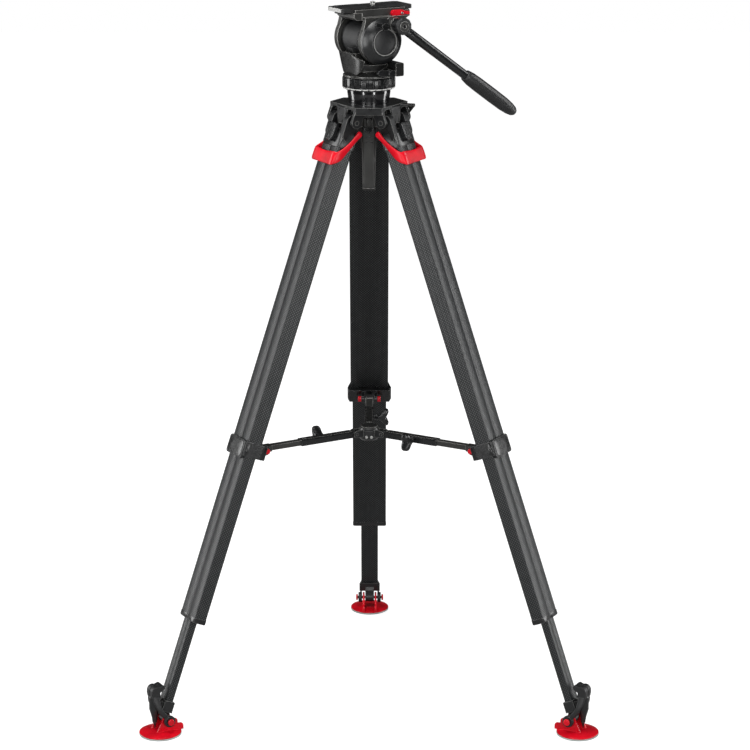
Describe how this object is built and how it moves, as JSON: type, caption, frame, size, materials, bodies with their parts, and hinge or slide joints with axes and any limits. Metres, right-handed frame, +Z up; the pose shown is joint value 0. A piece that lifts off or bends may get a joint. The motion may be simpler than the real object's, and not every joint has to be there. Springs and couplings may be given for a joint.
{
  "type": "camera tripod with fluid head",
  "caption": "Three-legged telescoping camera tripod with mid-level spreader, swivelling foot pads, ball-levelled bowl and a fluid pan and tilt head with pan bar and sliding camera plate.",
  "frame": {"origin": "on the floor, on the tripod's vertical axis, where the three legs' planes meet", "axes": "+Z up along the tripod's axis; +Y along the rear leg; the camera plate points 31 degrees past -X towards -Y"},
  "size_m": [0.8286, 0.7278, 1.2905],
  "materials": {
    "carbon": "woven carbon fibre, satin resin",
    "casting": "fine textured black paint",
    "head_shell": "satin graphite grey",
    "black_plastic": "moulded, satin",
    "red_plastic": "satin red",
    "rubber": "matt black rubber",
    "steel": "bare",
    "gloss_black": "polished black",
    "plate_metal": "black anodised, bare bevels"
  },
  "bodies": {
    "bowl": {"bowl_casting": "casting", "leg_hinge_pins": "steel"},
    "ball": {"half_ball": "gloss_black"},
    "clamp": {"clamp_handle": "black_plastic"},
    "pan_ring": {"pan_drag_ring": "black_plastic"},
    "pan_head": {"head_base": "head_shell", "tilt_drum": "gloss_black"},
    "pan_brake": {"pan_brake_lever": "black_plastic"},
    "tilt_head": {"tilt_cradle": "head_shell", "side_covers": "head_shell"},
    "tilt_ring": {"tilt_drag_ring": "black_plastic"},
    "tilt_brake": {"tilt_brake_lever": "black_plastic"},
    "bar_knob": {"bar_clamp_knob": "rubber"},
    "bar": {"pan_bar": "black_plastic", "pan_bar_grip": "rubber"},
    "plate": {"camera_plate": "plate_metal"},
    "plate_screw": {"camera_screw": "steel"},
    "plate_lock": {"plate_lever": "red_plastic"},
    "plate_button": {"plate_catch": "red_plastic"},
    "hub": {"spreader_hub": "casting"},
    "leg_rear": {"top_fitting_rear": "casting", "upper_tube_rear": "carbon", "carry_loop_rear": "red_plastic", "bracket_rear": "black_plastic"},
    "leg_brake_rear": {"brake_lever_rear": "black_plastic"},
    "mid_rear": {"middle_tube_rear": "carbon"},
    "low_rear": {"lower_tube_rear": "carbon", "ankle_rear": "casting"},
    "foot_rear": {"foot_pad_rear": "red_plastic"},
    "strap_rear": {"foot_strap_rear": "rubber"},
    "arm_rear": {"spreader_arm_rear": "black_plastic"},
    "slider_rear": {"spreader_slider_rear": "black_plastic"},
    "wing_rear": {"wing_screw_rear": "black_plastic"},
    "leg_left": {"top_fitting_left": "casting", "upper_tube_left": "carbon", "carry_loop_left": "red_plastic", "bracket_left": "black_plastic"},
    "leg_brake_left": {"brake_lever_left": "black_plastic"},
    "mid_left": {"middle_tube_left": "carbon"},
    "low_left": {"lower_tube_left": "carbon", "ankle_left": "casting"},
    "foot_left": {"foot_pad_left": "red_plastic"},
    "strap_left": {"foot_strap_left": "rubber"},
    "arm_left": {"spreader_arm_left": "black_plastic"},
    "slider_left": {"spreader_slider_left": "black_plastic"},
    "wing_left": {"wing_screw_left": "black_plastic"},
    "leg_right": {"top_fitting_right": "casting", "upper_tube_right": "carbon", "carry_loop_right": "red_plastic", "bracket_right": "black_plastic"},
    "leg_brake_right": {"brake_lever_right": "black_plastic"},
    "mid_right": {"middle_tube_right": "carbon"},
    "low_right": {"lower_tube_right": "carbon", "ankle_right": "casting"},
    "foot_right": {"foot_pad_right": "red_plastic"},
    "strap_right": {"foot_strap_right": "rubber"},
    "arm_right": {"spreader_arm_right": "black_plastic"},
    "slider_right": {"spreader_slider_right": "black_plastic"},
    "wing_right": {"wing_screw_right": "black_plastic"}
  },
  "joints": [
    {"name": "level_tilt", "type": "hinge", "parent": "bowl", "child": "ball", "pos_m": [0, 0, 1.112], "axis": [0, 1, 0], "range_deg": [-10, 10]},
    {"name": "hub_lift", "type": "slide", "parent": "bowl", "child": "hub", "axis": [0, 0, 1], "range_m": [0, 0.10335]},
    {"name": "clamp_turn", "type": "hinge", "parent": "ball", "child": "clamp", "pos_m": [0, 0, 1.08], "axis": [0, 0, 1], "continuous": true},
    {"name": "pan_drag_turn", "type": "hinge", "parent": "ball", "child": "pan_ring", "pos_m": [0, 0, 1.148], "axis": [0, 0, 1], "range_deg": [0, 150]},
    {"name": "pan", "type": "hinge", "parent": "ball", "child": "pan_head", "pos_m": [0, 0, 1.18], "axis": [0, 0, 1], "continuous": true},
    {"name": "pan_brake_turn", "type": "hinge", "parent": "pan_head", "child": "pan_brake", "pos_m": [0.03878, -0.03853, 1.169], "axis": [0.515, -0.8572, 0], "range_deg": [0, 40]},
    {"name": "tilt", "type": "hinge", "parent": "pan_head", "child": "tilt_head", "pos_m": [0, 0, 1.225], "axis": [0.515, -0.8572, 0], "range_deg": [-25, 75]},
    {"name": "tilt_drag_turn", "type": "hinge", "parent": "pan_head", "child": "tilt_ring", "pos_m": [0.01236, -0.02057, 1.225], "axis": [0.515, -0.8572, 0], "range_deg": [0, 150]},
    {"name": "tilt_brake_turn", "type": "hinge", "parent": "tilt_head", "child": "tilt_brake", "pos_m": [0.02764, -0.05339, 1.253], "axis": [0.515, -0.8572, 0], "range_deg": [-35, 30]},
    {"name": "bar_knob_turn", "type": "hinge", "parent": "tilt_head", "child": "bar_knob", "pos_m": [0.05989, -0.05501, 1.254], "axis": [0.515, -0.8572, 0], "continuous": true},
    {"name": "bar_angle", "type": "hinge", "parent": "tilt_head", "child": "bar", "pos_m": [0.05371, -0.04473, 1.254], "axis": [0.515, -0.8572, 0], "range_deg": [-5, 110]},
    {"name": "plate_slide", "type": "slide", "parent": "tilt_head", "child": "plate", "axis": [-0.8572, -0.515, 0], "range_m": [-0.045, 0.045]},
    {"name": "camera_screw_turn", "type": "hinge", "parent": "plate", "child": "plate_screw", "pos_m": [0.00686, 0.00412, 1.28], "axis": [0, 0, 1], "continuous": true},
    {"name": "plate_lever_turn", "type": "hinge", "parent": "tilt_head", "child": "plate_lock", "pos_m": [0.05643, -0.0046, 1.271], "axis": [0.515, -0.8572, 0], "range_deg": [-60, 0]},
    {"name": "plate_catch_press", "type": "slide", "parent": "tilt_head", "child": "plate_button", "axis": [-0.515, 0.8572, 0], "range_m": [0, 0.003], "stiffness_N_per_m": 300},
    {"name": "leg_fold_rear", "type": "hinge", "parent": "bowl", "child": "leg_rear", "pos_m": [0, 0.0502, 1.085], "axis": [1, 0, 0], "range_deg": [-16, 0]},
    {"name": "brake_flip_rear", "type": "hinge", "parent": "leg_rear", "child": "leg_brake_rear", "pos_m": [0, 0.07874, 1.05492], "axis": [-1, 0, 0], "range_deg": [0, 70]},
    {"name": "extend_middle_rear", "type": "slide", "parent": "leg_rear", "child": "mid_rear", "axis": [0, 0.3404, -0.9403], "range_m": [-0.29, 0.09]},
    {"name": "extend_lower_rear", "type": "slide", "parent": "mid_rear", "child": "low_rear", "axis": [0, 0.3404, -0.9403], "range_m": [-0.14, 0.25]},
    {"name": "foot_tilt_rear", "type": "hinge", "parent": "low_rear", "child": "foot_rear", "pos_m": [0, 0.4243, 0.0281], "axis": [1, 0, 0], "range_deg": [-15, 15]},
    {"name": "strap_swing_rear", "type": "hinge", "parent": "low_rear", "child": "strap_rear", "pos_m": [0, 0.4243, 0.0281], "axis": [-1, 0, 0], "range_deg": [0, 50]},
    {"name": "arm_fold_rear", "type": "hinge", "parent": "hub", "child": "arm_rear", "pos_m": [0, 0.03, 0.5045], "axis": [-1, 0, 0], "range_deg": [0, 79.22]},
    {"name": "arm_extend_rear", "type": "slide", "parent": "arm_rear", "child": "slider_rear", "axis": [0, 1, 0], "range_m": [-0.05983, 0]},
    {"name": "wing_turn_rear", "type": "hinge", "parent": "arm_rear", "child": "wing_rear", "pos_m": [0.012, 0.094, 0.5045], "axis": [-1, 0, 0], "range_deg": [0, 90]},
    {"name": "leg_fold_left", "type": "hinge", "parent": "bowl", "child": "leg_left", "pos_m": [-0.04347, -0.0251, 1.085], "axis": [-0.5, 0.866, 0], "range_deg": [-16.01, 0]},
    {"name": "brake_flip_left", "type": "hinge", "parent": "leg_left", "child": "leg_brake_left", "pos_m": [-0.06819, -0.03937, 1.05492], "axis": [0.5, -0.866, 0], "range_deg": [0, 70]},
    {"name": "extend_middle_left", "type": "slide", "parent": "leg_left", "child": "mid_left", "axis": [-0.2948, -0.1702, -0.9403], "range_m": [-0.29, 0.09]},
    {"name": "extend_lower_left", "type": "slide", "parent": "mid_left", "child": "low_left", "axis": [-0.2948, -0.1702, -0.9403], "range_m": [-0.14, 0.25]},
    {"name": "foot_tilt_left", "type": "hinge", "parent": "low_left", "child": "foot_left", "pos_m": [-0.36745, -0.21215, 0.0281], "axis": [-0.5, 0.866, 0], "range_deg": [-15, 15]},
    {"name": "strap_swing_left", "type": "hinge", "parent": "low_left", "child": "strap_left", "pos_m": [-0.36745, -0.21215, 0.0281], "axis": [0.5, -0.866, 0], "range_deg": [0, 50]},
    {"name": "arm_fold_left", "type": "hinge", "parent": "hub", "child": "arm_left", "pos_m": [-0.02598, -0.015, 0.5045], "axis": [0.5, -0.866, 0], "range_deg": [0, 79.22]},
    {"name": "arm_extend_left", "type": "slide", "parent": "arm_left", "child": "slider_left", "axis": [-0.866, -0.5, 0], "range_m": [-0.05983, 0]},
    {"name": "wing_turn_left", "type": "hinge", "parent": "arm_left", "child": "wing_left", "pos_m": [-0.08741, -0.03661, 0.5045], "axis": [0.5, -0.866, 0], "range_deg": [0, 90]},
    {"name": "leg_fold_right", "type": "hinge", "parent": "bowl", "child": "leg_right", "pos_m": [0.04347, -0.0251, 1.085], "axis": [-0.5, -0.866, 0], "range_deg": [-16.01, 0]},
    {"name": "brake_flip_right", "type": "hinge", "parent": "leg_right", "child": "leg_brake_right", "pos_m": [0.06819, -0.03937, 1.05492], "axis": [0.5, 0.866, 0], "range_deg": [0, 70]},
    {"name": "extend_middle_right", "type": "slide", "parent": "leg_right", "child": "mid_right", "axis": [0.2948, -0.1702, -0.9403], "range_m": [-0.29, 0.09]},
    {"name": "extend_lower_right", "type": "slide", "parent": "mid_right", "child": "low_right", "axis": [0.2948, -0.1702, -0.9403], "range_m": [-0.14, 0.25]},
    {"name": "foot_tilt_right", "type": "hinge", "parent": "low_right", "child": "foot_right", "pos_m": [0.36745, -0.21215, 0.0281], "axis": [-0.5, -0.866, 0], "range_deg": [-15, 15]},
    {"name": "strap_swing_right", "type": "hinge", "parent": "low_right", "child": "strap_right", "pos_m": [0.36745, -0.21215, 0.0281], "axis": [0.5, 0.866, 0], "range_deg": [0, 50]},
    {"name": "arm_fold_right", "type": "hinge", "parent": "hub", "child": "arm_right", "pos_m": [0.02598, -0.015, 0.5045], "axis": [0.5, 0.866, 0], "range_deg": [0, 79.22]},
    {"name": "arm_extend_right", "type": "slide", "parent": "arm_right", "child": "slider_right", "axis": [0.866, -0.5, 0], "range_m": [-0.05983, 0]},
    {"name": "wing_turn_right", "type": "hinge", "parent": "arm_right", "child": "wing_right", "pos_m": [0.07541, -0.05739, 0.5045], "axis": [0.5, 0.866, 0], "range_deg": [0, 90]}
  ],
  "couplings": [
    {"joint": "arm_fold_rear", "follows": "leg_fold_rear", "ratio": -4.949},
    {"joint": "arm_extend_rear", "follows": "leg_fold_rear", "m_per_rad": 0.21415},
    {"joint": "leg_fold_left", "follows": "leg_fold_rear", "ratio": 1},
    {"joint": "arm_fold_left", "follows": "leg_fold_rear", "ratio": -4.949},
    {"joint": "arm_extend_left", "follows": "leg_fold_rear", "m_per_rad": 0.21415},
    {"joint": "leg_fold_right", "follows": "leg_fold_rear", "ratio": 1},
    {"joint": "arm_fold_right", "follows": "leg_fold_rear", "ratio": -4.949},
    {"joint": "arm_extend_right", "follows": "leg_fold_rear", "m_per_rad": 0.21415},
    {"joint": "hub_lift", "follows": "leg_fold_rear", "m_per_rad": -0.36993}
  ]
}
